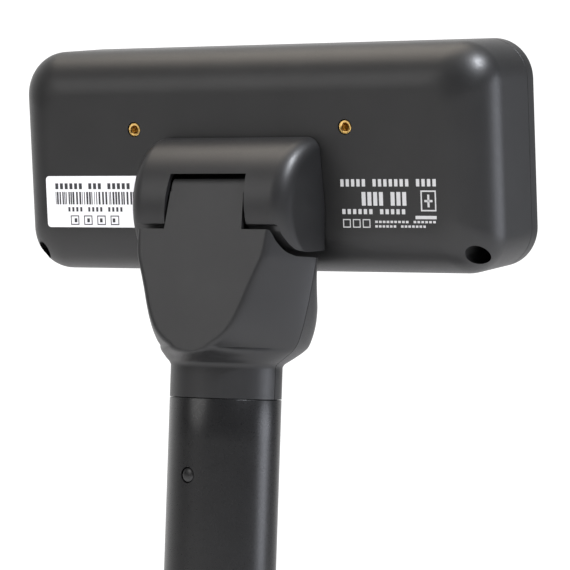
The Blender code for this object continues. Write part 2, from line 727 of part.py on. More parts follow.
def hood_roll(name, inset, parent, steps=24):
    """A drum about the tilt axis. Its rim round is small beside the head and large at the rear."""
    radius = HOOD_R - inset
    side = HOOD_SIDE - inset
    rounds = 4
    bm = bmesh.new()
    poles = [bm.verts.new((s * side, 0.0, 0.0)) for s in (-1, 1)]
    rows = []
    for k in range(steps):
        angle = 2 * pi * k / steps
        rear = 0.5 + 0.5 * cos(angle)
        rim = (3.6 + 4.4 * rear) - 0.5 * inset
        draft = HOOD_DRAFT * rear
        profile = []
        for s in (-1, 1):
            points = [(side - draft * 0.5 * radius, 0.5 * radius)]
            for j in range(rounds + 1):
                a = j / rounds * pi / 2
                r = radius - rim + rim * sin(a)
                points.append((side - draft * (radius - rim) - rim * (1 - cos(a)), r))
            profile += [(s * x, r) for x, r in (points if s < 0 else points[::-1])]
        rows.append([bm.verts.new((x, r * cos(angle), r * sin(angle))) for x, r in profile])
    count = len(rows[0])
    for k in range(steps):
        low, high = rows[k], rows[(k + 1) % steps]
        for i in range(count - 1):
            bm.faces.new((low[i], low[i + 1], high[i + 1], high[i]))
        bm.faces.new((poles[0], low[0], high[0]))
        bm.faces.new((low[-1], poles[1], high[-1]))
    return finish_mesh(name, bm, parent)


def make_hood(tilt, head):
    """Frame of the tilt pivot: the axis is x, and the head's rear face is at y = HEAD_BACK."""
    hood = hood_roll("hinge_hood", 0.0, tilt)
    cavity = hood_roll("hood_cavity", HOOD_WALL, tilt)
    bosses = []
    for side in (-1, 1):
        bosses.append(rod("shaft_boss", 7.0, side * 23.0, side * 38.0, 0, parent=tilt, steps=24))
        for z in (HOOD_SCREWS[0][1], HOOD_SCREWS[1][1]):
            spot = (side * HOOD_SCREWS[-1][0], 0.0, z + HEAD_RISE)
            bosses.append(rod("hood_boss", 3.1, HEAD_BACK + GAP + 0.1, 8.0, 1, spot, tilt, 16))
    outline = [
        (-20.0, -17.9),
        (3.7, -17.5),
        (10.0, -17.2),
        (17.6, -15.8),
        (21.6, -13.3),
        (24.9, -9.2),
        (26.4, -5.6),
        (27.2, -4.6),
        (45.0, -4.6),
        (45.0, -45.0),
        (-20.0, -45.0),
    ]
    below = prism("hood_lower_cut", outline, 0, -55.0, 55.0, tilt)
    ahead = loft("hood_front_cut", head_rings(-GAP, -COVER_DEPTH), head)
    slope = (NOTCH_TOP_X - NOTCH_BOTTOM_X) / (NOTCH_TOP_Z + 5.3)
    low_z = -20.0
    low_x = NOTCH_BOTTOM_X + (low_z + 5.3) * slope
    corners = [(-low_x, low_z), (low_x, low_z), (NOTCH_TOP_X, NOTCH_TOP_Z), (-NOTCH_TOP_X, NOTCH_TOP_Z)]
    notch = prism("hood_notch", corners, 1, 10.0, 50.0, tilt)
    shaft_hole = rod("hood_shaft_hole", 3.3, -30.2, 30.2, 0, parent=tilt)
    cut(hood, ahead, below, notch, cavity)
    join(hood, *bosses)
    cut(hood, shaft_hole, box("boss_trim", (-60.0, -20.0, -20.0), (60.0, HEAD_BACK + GAP, 20.0), tilt))
    for x, z in HOOD_SCREWS:
        spot = (x, 0.0, z + HEAD_RISE)
        cut(hood, rod("hood_boss_hole", 1.7, -3.0, 7.0, 1, spot, tilt, 12))
    part(hood, ABS)

    part(rod("tilt_shaft", 3.0, -29.5, 29.5, 0, parent=tilt), STEEL)
    spring = turned(
        "tension_spring", [(3.3, 16.9), (6.0, 16.4), (6.0, 17.0), (3.3, 17.5)], 0, parent=tilt, steps=24
    )
    part(spring, STEEL)
    nut = loft(
        "tilt_nut",
        [[(x, 5.5 * cos(k * pi / 3), 5.5 * sin(k * pi / 3)) for k in range(6)] for x in (17.9, 21.9)],
        tilt,
    )
    cut(nut, rod("tilt_nut_bore", 3.3, 16.0, 24.0, 0, parent=tilt))
    part(nut, STEEL)
    part(washer("shaft_collar", 3.3, 5.5, -20.5, -16.6, 0, parent=tilt, steps=24), STEEL)


clear_scene()
PARTS = collection("customer_pole_display")
CUTTERS = collection("cutters", helper=True)
ABS = material("moulded_black_abs", (0.035, 0.036, 0.038), 0.5)
PAINT = material("black_painted_tube", (0.022, 0.022, 0.024), 0.35)
PLASTIC = material("black_nylon", (0.05, 0.05, 0.05), 0.6)
RUBBER = material("black_rubber", (0.02, 0.02, 0.02), 0.85)
STEEL = material("zinc_plated_steel", (0.55, 0.56, 0.58), 0.35, 1.0)
BRASS = material("brass", (0.78, 0.53, 0.18), 0.3, 1.0)
LABEL = material("white_label", (0.85, 0.85, 0.84), 0.5)
WINDOW = material("smoked_acrylic", (0.02, 0.03, 0.05), 0.08)
GLASS = material("lcd_glass", (0.1, 0.14, 0.13), 0.1)
PANEL = material("backlight_panel", (0.8, 0.85, 0.9), 0.5)
BOARD = material("circuit_board", (0.03, 0.2, 0.08), 0.45)
CHIP = material("chip_black", (0.02, 0.02, 0.02), 0.5)

swivel_pivot = pivot("swivel_pivot", (0.0, 0.0, COLLAR_Z))
tilt_pivot = pivot("tilt_pivot", (0.0, HINGE_Y, HINGE_Z), -REST_TILT)
head_frame = pivot("head_frame", (0.0, HEAD_BACK, HEAD_RISE), parent=tilt_pivot)

make_base()
make_pole()
make_neck(swivel_pivot)
make_rear_cover(head_frame)
make_front(head_frame)
make_hood(tilt_pivot, head_frame)
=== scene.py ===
"""Looks of the customer pole display: fine surfaces over its moulded, turned and painted parts,
their finishes, the floor, the light and the camera.

Lengths are in millimetres until a mesh is made. Head pieces are drawn in the head's frame
(x along the head, y out of the rear face, z up from its centre), hood pieces in the tilt
axis's frame, and neck pieces with z counted from the joint between collar and tube.
"""

import json

import bmesh
import bpy
import numpy as np
from mathutils import Matrix


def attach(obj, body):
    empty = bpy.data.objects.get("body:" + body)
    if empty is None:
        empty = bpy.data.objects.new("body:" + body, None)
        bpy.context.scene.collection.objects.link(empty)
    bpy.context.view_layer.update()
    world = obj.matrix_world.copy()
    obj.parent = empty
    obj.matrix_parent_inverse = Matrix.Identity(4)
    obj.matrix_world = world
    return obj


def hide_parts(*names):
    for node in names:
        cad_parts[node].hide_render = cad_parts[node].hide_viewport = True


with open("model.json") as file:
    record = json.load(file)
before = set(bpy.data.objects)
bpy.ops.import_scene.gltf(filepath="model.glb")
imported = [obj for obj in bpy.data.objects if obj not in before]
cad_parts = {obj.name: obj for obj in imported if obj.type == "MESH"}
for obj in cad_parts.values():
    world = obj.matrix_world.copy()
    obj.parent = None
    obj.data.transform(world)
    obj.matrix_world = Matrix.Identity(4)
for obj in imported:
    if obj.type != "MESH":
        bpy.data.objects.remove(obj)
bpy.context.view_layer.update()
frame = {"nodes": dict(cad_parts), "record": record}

MM = 0.001
COLLAR_Z = 262.0
LEAN = np.radians(8.44)
HINGE_Y, HINGE_Z = -5.6, 339.8
HEAD_BACK, HEAD_RISE = -1.0, 18.0
HEAD_X, HEAD_Z = 110.0, 46.15
HEAD_CORNER, HEAD_FILLET, HEAD_WALL, COVER_DEPTH, HEAD_DEPTH = 16.5, 19.5, 2.4, 42.4, 49.6
INSERTS = [(side * 49.3, 0.0, 13.7) for side in (-1, 1)]
CORNERS = [(side * 101.8, 0.0, -37.6) for side in (-1, 1)]
BOARD_POSTS = [(sx * 78.0, 0.0, sz * 20.0) for sx in (-1, 1) for sz in (-1, 1)]
HOOD_SCREWS = [(side * 34.0, 0.0, z) for side in (-1, 1) for z in (1.0, -31.8)]
NECK_SCREWS = [(side * 17.0, 0.0, 27.0) for side in (-1, 1)]
BRACKET_SCREWS = [(side * 7.0, 14.0, 0.0) for side in (-1, 1)]
LOCK_SCREW_Z = 48.0
CABLE_OUTLET = (0.0, 0.0, 10.4)
HOOD_R, HOOD_SIDE, HOOD_WALL, HOOD_DRAFT = 28.0, 39.3, 2.2, 0.12
NECK_WALL, NECK_SPLIT = 2.4, 0.15
SHOULDER_Y, SHOULDER_Z, REAR_SLOPE = 22.9, 67.3, 0.16
POLE_R, POLE_WALL, POLE_BOTTOM = 22.6, 1.6, 15.8
BUTTON_TURN, BUTTON_Z = np.radians(9.0), 231.2
BASE_X, BASE_Y, BASE_CORNER, BASE_FILLET, BASE_HEIGHT = 100.0, 65.0, 24.0, 7.0, 24.0
BASE_RIM = 3.2
FEET = [(sx * 78.0, sy * 44.0, 0.0) for sx in (-1, 1) for sy in (-1, 1)]

# The hood's lower edge behind the shaft, as (y, z) in the tilt axis's frame.
HOOD_LIP = [(10.0, -17.2), (17.6, -15.8), (21.6, -13.3), (24.9, -9.2), (26.4, -5.6), (27.2, -4.6)]

# The neck's outline at each height: (height, half width, depth ahead, depth behind).
NECK_SECTIONS = [
    (0.0, 22.6, 22.6, 22.6),
    (13.0, 22.6, 22.6, 22.6),
    (14.2, 23.2, 23.2, 23.2),
    (17.0, 27.0, 26.0, 28.6),
    (20.6, 31.5, 28.8, 38.5),
    (26.0, 33.6, 29.8, 46.5),
    (31.0, 35.0, 29.6, 50.5),
    (37.0, 36.3, 27.0, 53.5),
    (44.0, 37.6, 20.0, 56.0),
    (50.0, 38.7, 13.0, 59.5),
    (56.8, 39.6, 7.0, 66.0),
    (90.0, 40.0, 7.0, 66.0),
]

# Name, place, aim, width in metres, power in watts, colour, and whether gloss shows it.
STUDIO_LIGHTS = [
    ("top_softbox", (0.35, -0.1, 1.6), (0.0, 0.0, 0.3), 1.1, 7.5, (1.0, 0.9, 0.78), True),
    ("key_softbox", (-0.15, 1.75, 1.9), (0.0, 0.0, 0.3), 0.8, 50.0, (1.0, 0.99, 0.98), False),
    ("fill_softbox", (1.0, 1.75, 1.1), (0.0, 0.0, 0.3), 1.3, 9.5, (1.0, 0.99, 0.98), True),
    ("side_softbox", (-1.45, -0.85, 0.4), (0.0, 0.0, 0.3), 0.8, 8.0, (0.88, 0.91, 1.0), True),
    ("corner_lamp", (-0.7, 0.12, 1.18), (0.0, 0.0, 0.36), 0.13, 15.0, (0.9, 0.93, 1.0), True),
]
BRIGHT_SIDE = (0.7, -0.714, 0.0)
FLOOR_GLOW = 0.22

CAMERA_SPOT = (-583.216, 1000.902, 278.06)
CAMERA_YAW, CAMERA_PITCH, CAMERA_ROLL = np.radians([29.12, 1.5, 1.87])
CAMERA_LENS, CAMERA_SENSOR = 181.07, 36.0


# --- Frames: each takes points in its own frame and gives them in the object's. ---


def in_place(points):
    return points


def on_neck(points):
    """Shifts up by the height of the joint between collar and tube."""
    return points + np.array([0.0, 0.0, COLLAR_Z])


def on_tilt(points):
    """Turns about the tilt axis by the lean, then moves to the axis."""
    x, y, z = np.moveaxis(points, -1, 0)
    c, s = np.cos(LEAN), np.sin(LEAN)
    return np.stack([x, HINGE_Y + y * c + z * s, HINGE_Z - y * s + z * c], axis=-1)


def on_head(points):
    """The tilt frame moved back to the head's rear face and up to its centre."""
    return on_tilt(points + np.array([0.0, HEAD_BACK, HEAD_RISE]))


def on_button(points):
    """Turns +y to the snap button's direction, at the button's height."""
    x, y, z = np.moveaxis(points, -1, 0)
    c, s = np.cos(BUTTON_TURN), np.sin(BUTTON_TURN)
    return np.stack([x * c + y * s, y * c - x * s, z + BUTTON_Z], axis=-1)


# --- Meshes from grids ---


def skin(name, rings, place=in_place, loop=False):
    """A closed surface through rings[i, j]: face (i, j) joins points j and j + 1 of rings i and
    i + 1. The end rings are filled, or with loop the last ring joins the first."""
    rings = place(np.asarray(rings, float))
    rows, columns = rings.shape[:2]
    index = np.arange(rows * columns).reshape(rows, columns)
    if loop:
        index = np.vstack([index, index[:1]])
    low, high = index[:-1], index[1:]
    quads = np.stack([low, np.roll(low, -1, 1), np.roll(high, -1, 1), high], axis=-1)
    faces = quads.reshape(-1, 4).tolist()
    if not loop:
        faces += [index[0, ::-1].tolist(), index[-1].tolist()]
    return new_piece(name, rings.reshape(-1, 3), faces)


def new_piece(name, points, faces):
    """A mesh object from points in millimetres."""
    mesh = bpy.data.meshes.new(name)
    mesh.from_pydata(points * MM, [], faces)
    merge(mesh)
    obj = bpy.data.objects.new(name, mesh)
    bpy.context.scene.collection.objects.link(obj)
    return obj


def merge(mesh):
    """Makes points that fall together one, drops faces that collapse, and turns faces outward."""
    bm = bmesh.new()
    bm.from_mesh(mesh)
    bmesh.ops.remove_doubles(bm, verts=bm.verts, dist=2e-7)
    bmesh.ops.dissolve_degenerate(bm, edges=bm.edges, dist=1e-8)
    bmesh.ops.recalc_face_normals(bm, faces=bm.faces)
    bm.to_mesh(mesh)
    bm.free()


def rounded_outline(half_a, half_b, corner, per=20, along=0):
    """Outline of a rounded rectangle: each quarter is the corner's centre plus corner times
    (cos t, sin t) for t over a quarter turn, with along more points on each straight side."""
    turn = np.linspace(0.0, np.pi / 2, per)
    quarters = []
    for k, (sa, sb) in enumerate([(1, 1), (-1, 1), (-1, -1), (1, -1)]):
        t = turn + k * np.pi / 2
        a = sa * (half_a - corner) + corner * np.cos(t)
        b = sb * (half_b - corner) + corner * np.sin(t)
        quarters.append(np.stack([a, b], -1))
    share = np.linspace(0.0, 1.0, along + 2)[1:-1, None]
    ends = zip(quarters, quarters[1:] + quarters[:1])
    return np.concatenate([np.concatenate([a, a[-1:] * (1 - share) + b[:1] * share]) for a, b in ends])


def plate_rings(half_x, half_z, corner, levels):
    """Rounded-rectangle rings across y: levels is a list of (step in, y)."""
    rings = []
    for step_in, y in levels:
        outline = rounded_outline(half_x - step_in, half_z - step_in, max(corner - step_in, 0.2))
        rings.append(np.insert(outline, 1, y, axis=1))
    return np.array(rings)


def turned(name, profile, axis, spot=(0.0, 0.0, 0.0), place=in_place, steps=48, loop=False):
    """A profile of (radius, height) turned about an axis through a spot: the point at angle t is
    (radius cos t, radius sin t) across the axis and height along it."""
    radius, height = np.array(profile, float).T
    t = np.arange(steps) * 2 * np.pi / steps
    across = radius[:, None] * np.cos(t)
    over = radius[:, None] * np.sin(t)
    along = np.broadcast_to(height[:, None], across.shape)
    order = {0: (along, across, over), 1: (over, along, across), 2: (across, over, along)}[axis]
    return skin(name, np.stack(order, -1) + np.array(spot), place, loop)


def rod(radius, low, high, axis, spot=(0.0, 0.0, 0.0), place=in_place, steps=48):
    return turned("rod", [(radius, low), (radius, high)], axis, spot, place, steps)


def block(low, high, place=in_place):
    (x0, y0, z0), (x1, y1, z1) = low, high
    ring = np.array([(x0, y0), (x1, y0), (x1, y1), (x0, y1)])
    return skin("block", [np.insert(ring, 2, z, axis=1) for z in (z0, z1)], place)


def smooth_line(points, per=8):
    """A Catmull-Rom curve through the points, with per steps to each span."""
    p = np.asarray(points, float)
    p = np.concatenate([2 * p[:1] - p[1:2], p, 2 * p[-1:] - p[-2:-1]])
    t = (np.arange(per) / per)[None, :, None]
    a, b, c, d = (p[k : len(p) - 3 + k][:, None] for k in range(4))
    curve = 0.5 * (2 * b + (c - a) * t + (2 * a - 5 * b + 4 * c - d) * t**2 + (3 * b - a - 3 * c + d) * t**3)
    return np.concatenate([curve.reshape(-1, p.shape[1]), p[-2:-1]])


def prism(outline, half, place):
    """An outline of (y, z) carried along x from -half to half."""
    outline = np.asarray(outline, float)
    return skin("prism", [np.insert(outline, 0, x, axis=1) for x in (-half, half)], place)


def carve(target, cutters, operation="DIFFERENCE"):
    """Cuts helper solids from the target or joins them to it, and bakes the result."""
    for cutter in cutters:
        step = target.modifiers.new("carve", "BOOLEAN")
        step.operation = operation
        step.solver = "EXACT"
        step.object = cutter
    graph = bpy.context.evaluated_depsgraph_get()
    baked = bpy.data.meshes.new_from_object(target.evaluated_get(graph))
    target.modifiers.clear()
    target.data = baked
    for cutter in cutters:
        bpy.data.objects.remove(cutter, do_unlink=True)
    return target


def finish(obj, name, body, material, nodes=(), sharp=32.0):
    """Names a made piece, smooths it up to an edge angle, and hangs it on its body."""
    obj.name = name
    obj.data.name = name
    obj.data.materials.clear()
    obj.data.materials.append(material)
    obj.data.shade_smooth()
    obj.data.set_sharp_from_angle(angle=np.radians(sharp))
    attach(obj, body)
    if nodes:
        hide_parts(*nodes)
    return obj


# --- Finishes ---


def plain_finish(name, colour, roughness, metallic=0.0):
    material = bpy.data.materials.new(name)
    material.use_nodes = True
    shader = material.node_tree.nodes["Principled BSDF"]
    shader.inputs["Base Color"].default_value = (*colour, 1.0)
    shader.inputs["Roughness"].default_value = roughness
    shader.inputs["Metallic"].default_value = metallic
    return material


def add_grain(material, scale, height, rough_low, rough_high, stretch=(1.0, 1.0, 1.0)):
    """Fine noise on the object's own coordinates: it tips the normal and varies the roughness."""
    nodes, links = material.node_tree.nodes, material.node_tree.links
    shader = nodes["Principled BSDF"]
    place = nodes.new("ShaderNodeTexCoord")
    mapping = nodes.new("ShaderNodeMapping")
    mapping.inputs["Scale"].default_value = stretch
    noise = nodes.new("ShaderNodeTexNoise")
    noise.inputs["Scale"].default_value = scale
    noise.inputs["Detail"].default_value = 3.0
    bump = nodes.new("ShaderNodeBump")
    bump.inputs["Distance"].default_value = height
    links.new(place.outputs["Object"], mapping.inputs["Vector"])
    links.new(mapping.outputs["Vector"], noise.inputs["Vector"])
    links.new(noise.outputs["Fac"], bump.inputs["Height"])
    links.new(bump.outputs["Normal"], shader.inputs["Normal"])
    spread = carried_over(material.node_tree, noise.outputs["Fac"], (0.3, 0.7), (rough_low, rough_high))
    links.new(spread, shader.inputs["Roughness"])
    return material


def carried_over(tree, value, start, end):
    """The value carried from the range start to the range end, and held at its ends."""
    node = tree.nodes.new("ShaderNodeMapRange")
    node.inputs["From Min"].default_value, node.inputs["From Max"].default_value = start
    node.inputs["To Min"].default_value, node.inputs["To Max"].default_value = end
    tree.links.new(value, node.inputs["Value"])
    return node.outputs["Result"]


def add_patches(material, dark, pale, scale):
    """Broad, faint noise between two close colours, so that a big face isn't one flat tone."""
    nodes, links = material.node_tree.nodes, material.node_tree.links
    place = nodes.new("ShaderNodeTexCoord")
    noise = nodes.new("ShaderNodeTexNoise")
    noise.inputs["Scale"].default_value = scale
    noise.inputs["Detail"].default_value = 4.0
    ramp = nodes.new("ShaderNodeValToRGB")
    ramp.color_ramp.elements[0].position = 0.3
    ramp.color_ramp.elements[0].color = (*dark, 1.0)
    ramp.color_ramp.elements[1].position = 0.7
    ramp.color_ramp.elements[1].color = (*pale, 1.0)
    links.new(place.outputs["Object"], noise.inputs["Vector"])
    links.new(noise.outputs["Fac"], ramp.inputs["Fac"])
    links.new(ramp.outputs["Color"], nodes["Principled BSDF"].inputs["Base Color"])
    return material


def textured(name, colour, roughness, grain, metallic=0.0, patches=None):
    """A plain finish with grain (scale, height, lowest and highest roughness, stretch), and with
    patches (dark, pale, scale) where they are given."""
    material = plain_finish(name, colour, roughness, metallic)
    add_grain(material, *grain)
    if patches:
        add_patches(material, *patches)
    return material


CASE = textured(
    "textured_case_abs", (0.011, 0.011, 0.0112), 0.45, (2200.0, 0.00003, 0.36, 0.46),
    patches=((0.0100, 0.0100, 0.0102), (0.0124, 0.0124, 0.0126), 60.0),
)
NECK_ABS = textured(
    "textured_neck_abs", (0.013, 0.013, 0.0136), 0.45, (2200.0, 0.000028, 0.36, 0.48),
    patches=((0.0120, 0.0120, 0.0126), (0.0146, 0.0146, 0.0152), 60.0),
)
TUBE_PAINT = textured(
    "satin_tube_paint", (0.008, 0.008, 0.0084), 0.3, (1800.0, 0.000008, 0.26, 0.34),
    patches=((0.0074, 0.0074, 0.0078), (0.0090, 0.0090, 0.0094), 90.0),
)
NYLON = textured("black_nylon", (0.05, 0.05, 0.05), 0.6, (1800.0, 0.00002, 0.52, 0.66))
RUBBER = textured("black_rubber", (0.02, 0.02, 0.021), 0.8, (1400.0, 0.00003, 0.7, 0.9))
STEEL = textured(
    "zinc_plated_steel", (0.52, 0.53, 0.56), 0.32, (900.0, 0.00001, 0.26, 0.4, (1.0, 1.0, 6.0)), metallic=1.0
)
# Painted shade: this steel is made darker than the screws' zinc slot so that the deep screw bores read
# black; its dark colour stands in for the shade down the bores. The neck screws and the pole's lock screw
# use it too.
BORE_SHADE_STEEL = textured(
    "steel_darkened_as_bore_shade", (0.06, 0.06, 0.065), 0.4, (1200.0, 0.00001, 0.32, 0.48), metallic=1.0
)
BRASS = textured("turned_brass", (0.72, 0.47, 0.16), 0.28, (1600.0, 0.00001, 0.2, 0.36), metallic=1.0)
LABEL_PAPER = textured("label_paper", (0.84, 0.84, 0.87), 0.5, (2200.0, 0.00001, 0.42, 0.56))
LABEL_INK = textured("label_ink", (0.03, 0.03, 0.035), 0.5, (2600.0, 0.000006, 0.44, 0.58))
CASE_INK = textured("case_print_ink", (0.5, 0.5, 0.51), 0.5, (2600.0, 0.000006, 0.44, 0.58))
WINDOW = textured("smoked_window", (0.006, 0.010, 0.014), 0.06, (300.0, 0.000004, 0.05, 0.08))
LCD_GLASS = textured("lcd_glass", (0.1, 0.14, 0.13), 0.1, (400.0, 0.000002, 0.08, 0.12))
LAMP_PANEL = textured("backlight_panel", (0.8, 0.85, 0.9), 0.5, (900.0, 0.000004, 0.45, 0.55))
BOARD = textured("circuit_board", (0.03, 0.2, 0.08), 0.45, (1100.0, 0.000006, 0.38, 0.52))
HEADER = textured("header_plastic", (0.78, 0.76, 0.7), 0.45, (1500.0, 0.000006, 0.4, 0.5))
CHIP = textured("chip_black", (0.02, 0.02, 0.02), 0.5, (1700.0, 0.000006, 0.44, 0.56))

SLOT_FINISHES = {
    "case_abs": CASE,
    "pole_paint": TUBE_PAINT,
    "nylon": NYLON,
    "rubber": RUBBER,
    "zinc_steel": STEEL,
    "brass": BRASS,
    "label": LABEL_PAPER,
    "header_plastic": HEADER,
    "window": WINDOW,
    "lcd_glass": LCD_GLASS,
    "backlight": LAMP_PANEL,
    "circuit_board": BOARD,
    "chip": CHIP,
}


# --- Head ---


def head_rings(inset, rim, steps=18):
    """Rings of the rear cover from its rim to the flat rear face. Round the rear edge, at angle a,
    a ring steps in by fillet (1 - cos a) and stands at -fillet + fillet sin a."""
    fillet = HEAD_FILLET - inset
    a = np.linspace(0.0, np.pi / 2, steps + 1)[1:]
    levels = [(inset, rim), (inset, -HEAD_FILLET)]
    levels += list(zip(HEAD_FILLET - fillet * np.cos(a), -HEAD_FILLET + fillet * np.sin(a)))
    rings = []
    for step_in, y in levels:
        corner = HEAD_CORNER - inset - 0.45 * (step_in - inset)
        rings.append(np.insert(rounded_outline(HEAD_X - step_in, HEAD_Z - step_in, corner), 1, y, axis=1))
    return np.array(rings)


def make_rear_cover():
    """The cover hollowed to its wall round bosses for the inserts, the corner screws and the
    board, then bored for them and for the hood's screws, and opened under the hood."""
    cover = skin("rear_cover", head_rings(0.0, -COVER_DEPTH), on_head)
    cavity = skin("cover_cavity", head_rings(HEAD_WALL, -COVER_DEPTH - 5.0), on_head)
    bosses = [rod(4.8, -9.5, 0.0, 1, spot, on_head, 32) for spot in INSERTS]
    bosses += [rod(5.4, -COVER_DEPTH, 0.0, 1, spot, on_head, 40) for spot in CORNERS]
    bosses += [rod(3.2, -28.0, 0.0, 1, spot, on_head, 24) for spot in BOARD_POSTS]
    carve(cavity, bosses)
    holes = [cavity]
    holes += [rod(3.1, -8.0, 2.0, 1, spot, on_head) for spot in INSERTS]
    holes += [rod(3.9, -28.0, 2.0, 1, spot, on_head, 64) for spot in CORNERS]
    holes += [rod(1.9, -50.0, -20.0, 1, spot, on_head, 24) for spot in CORNERS]
    holes += [rod(1.6, -50.0, -18.0, 1, spot, on_head, 24) for spot in BOARD_POSTS]
    holes += [rod(1.7, -5.0, 5.0, 1, spot, on_head, 24) for spot in HOOD_SCREWS]
    holes.append(block((-30.5, -6.0, -29.5), (30.5, 5.0, -8.5), on_head))
    carve(cover, holes)
    finish(cover, "rear_cover_skin", "head", CASE, ["rear_cover"])


def make_bezel():
    """Plate rings with the front edge rounded: step in e (1 - cos a), depth e (1 - sin a)."""
    e = 1.6
    a = np.linspace(0.0, np.pi / 2, 7)
    edge = list(zip(e * (1 - np.cos(a)), -HEAD_DEPTH + e * (1 - np.sin(a))))
    seam = -COVER_DEPTH - 0.3
    behind, ahead = seam + 5.0, -HEAD_DEPTH - 2.0
    plate = [(0.25, seam), (0.0, seam - 0.25), *edge]
    bezel = skin("bezel", plate_rings(HEAD_X, HEAD_Z, HEAD_CORNER, plate), on_head)
    window_seat = [(0.0, -HEAD_DEPTH + 1.8), (0.0, ahead)]
    pocket = skin("pocket", plate_rings(100.3, 37.3, 8.3, window_seat), on_head)
    opening = skin("opening", plate_rings(96.0, 33.0, 5.0, [(0.0, behind), (0.0, ahead)]), on_head)
    hollow = [(0.0, behind), (0.0, -HEAD_DEPTH + 4.0)]
    recess = skin("recess", plate_rings(107.0, 43.1, 13.5, hollow), on_head)
    carve(recess, [rod(4.6, -HEAD_DEPTH + 3.0, seam + 6.0, 1, spot, on_head, 32) for spot in CORNERS])
    holes = [rod(1.8, -HEAD_DEPTH + 2.6, behind, 1, spot, on_head, 24) for spot in CORNERS]
    carve(bezel, [pocket, opening, recess, *holes])
    finish(bezel, "front_bezel_skin", "head", CASE, ["front_bezel"])
    front = -HEAD_DEPTH + 0.1
    pane = [(0.3, front), (0.0, front + 0.3), (0.0, front + 1.2), (0.2, front + 1.4)]
    window = skin("window", plate_rings(100.0, 37.0, 8.0, pane), on_head)
    finish(window, "display_window_skin", "head", WINDOW, ["display_window"])


def make_head_hardware():
    """Inserts with a chamfered mouth and a thread: the bore's radius waves once a pitch."""
    thread_y = np.linspace(-0.9, -6.6, 72)
    thread_r = 1.5 + 0.14 * (0.5 + 0.5 * np.cos(2 * np.pi * thread_y / 0.5))
    bore = list(zip(thread_r, thread_y))
    shell = [(1.5, -7.2), (2.6, -7.2), (2.8, -6.9), (2.8, -0.5), (2.74, -0.28), (2.55, -0.15)]
    shell += [(1.95, -0.15), (1.84, -0.2), (1.62, -0.5), *bore]
    for k, spot in enumerate(INSERTS):
        insert = turned("insert", shell, 1, spot, on_head, 64, loop=True)
        finish(insert, f"insert_{k + 1}_skin", "head", BRASS, [f"thread_insert_{k + 1}"])
    # Painted shade: the case screws sit deep in their bores, and their dark steel stands in for the shade
    # there.
    for k, (x, _, z) in enumerate(CORNERS):
        screw = crossed_screw(3.4, 2.0, 1.5, 16.0, 1, -1, (x, -27.7, z), on_head)
        finish(screw, f"case_screw_{k + 1}_skin", "head", BORE_SHADE_STEEL, [f"case_screw_{k + 1}"])


def crossed_screw(head_r, head_h, shank_r, length, axis, way, spot, place):
    """A pan head, its height following a quarter ellipse over the rim, with a cross recess."""
    a = np.linspace(np.pi / 2, 0.0, 9)
    radii, heights = head_r * (0.45 + 0.55 * np.cos(a)), -way * head_h * (0.45 + 0.55 * np.sin(a))
    shank = [(shank_r, 0.0), (shank_r, way * (length - shank_r)), (0.3 * shank_r, way * length)]
    screw = turned("screw", [*zip(radii, heights), (head_r, 0.0), *shank], axis, spot, place, 48)
    low, high = sorted((-way * head_h * 0.45, -way * (head_h + 0.6)))
    across = [k for k in range(3) if k != axis]
    long_half, short_half = 0.62 * head_r, 0.14 * head_r
    bars = []
    for halves in ((long_half, short_half), (short_half, long_half)):
        corner_low, corner_high = list(spot), list(spot)
        corner_low[axis] += low
        corner_high[axis] += high
        for k, half in zip(across, halves):
            corner_low[k] -= half
            corner_high[k] += half
        bars.append(block(corner_low, corner_high, place))
    return carve(screw, bars)


# --- Label and print: plain bars and simple marks ---


def bars_mesh(name, bars, low, high):
    """Thin boxes on the rear face. Each bar is (x0, x1, z0, z1), and all stand from low to high."""
    bars = np.asarray(bars, float)
    x, z = np.sort(bars[:, :2], axis=1), np.sort(bars[:, 2:], axis=1)
    pick = np.array([(i, j, k) for j in (0, 1) for i, k in ((0, 0), (1, 0), (1, 1), (0, 1))])
    y = np.broadcast_to(np.array([low, high])[pick[:, 1]], (len(bars), 8))
    corners = np.stack([x[:, pick[:, 0]], y, z[:, pick[:, 2]]], axis=-1)
    sides = np.array([(0, 1, 2, 3), (7, 6, 5, 4), (0, 4, 5, 1), (1, 5, 6, 2), (2, 6, 7, 3), (3, 7, 4, 0)])
    faces = (np.arange(len(bars))[:, None, None] * 8 + sides).reshape(-1, 4)
    return new_piece(name, on_head(corners.reshape(-1, 3)), faces.tolist())


def dash_row(start, end, low, high, counts, gap, space):
    """A row of dashes from start to end, in groups of the given counts, as text would run."""
    total = sum(counts) + space * (len(counts) - 1)
    pitch = (end - start) / total
    bars = []
    at = start
    for count in counts:
        for k in range(count):
            bars.append((at + pitch * (k + gap), at + pitch * (k + 1 - gap), low, high))
        at += pitch * (count + space)
    return bars


def outline_box(x0, x1, z0, z1, line):
    """Four bars round a box."""
    return [
        (x0, x1, z0, z0 + line),
        (x0, x1, z1 - line, z1),
        (x0, x0 + line, z0 + line, z1 - line),
        (x1 - line, x1, z0 + line, z1 - line),
    ]


def stripe_row(start, end, low, high, seed):
    """Upright stripes of uneven width with uneven gaps."""
    rng = np.random.default_rng(seed)
    steps = rng.choice([0.3, 0.45, 0.7, 0.9], size=200)
    edges = start - np.concatenate([[0.0], np.cumsum(steps)])
    edges = edges[edges > end]
    pairs = edges[: len(edges) // 2 * 2].reshape(-1, 2)
    return [(right, left, low, high) for left, right in pairs]


